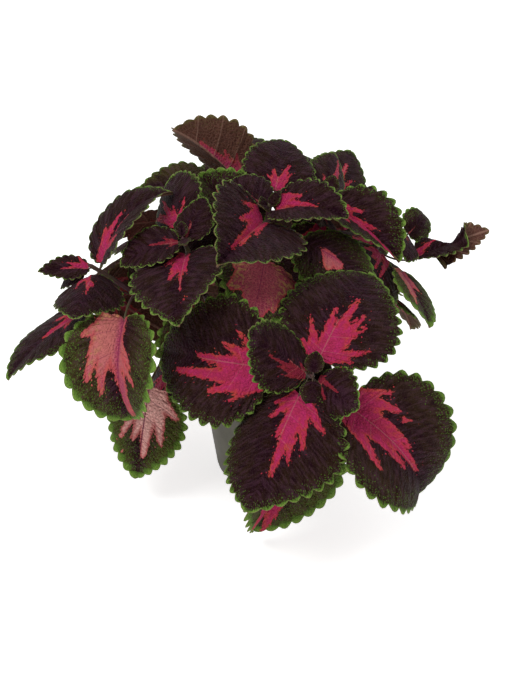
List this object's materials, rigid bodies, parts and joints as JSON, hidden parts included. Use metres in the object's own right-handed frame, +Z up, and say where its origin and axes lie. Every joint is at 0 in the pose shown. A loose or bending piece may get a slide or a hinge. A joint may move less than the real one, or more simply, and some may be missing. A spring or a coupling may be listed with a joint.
{
  "type": "potted coleus",
  "caption": "Bushy coleus in a tapered plastic nursery pot, its toothed maroon leaves with pink centres and green edges spreading wide past the rim.",
  "frame": {"origin": "centre of the pot's underside", "axes": "+Z up along the pot's axis, -Y towards the viewer of the source picture, +X to that viewer's right"},
  "size_m": [0.4576, 0.4574, 0.3326],
  "materials": {
    "pot_plastic": "satin olive-grey moulded plastic",
    "potting_soil": "dark crumbly peat mix",
    "coleus_leaf": "velvety puckered leaf"
  },
  "bodies": {
    "root": {"pot": "pot_plastic", "soil": "potting_soil", "shoot_front_right": "coleus_leaf", "shoot_crown": "coleus_leaf", "shoot_right_back": "coleus_leaf", "shoot_left": "coleus_leaf", "shoot_far_left": "coleus_leaf", "shoot_low_left": "coleus_leaf", "shoot_right": "coleus_leaf", "shoot_back_left": "coleus_leaf", "shoot_back_right": "coleus_leaf", "shoot_far_back": "coleus_leaf"}
  },
  "joints": []
}
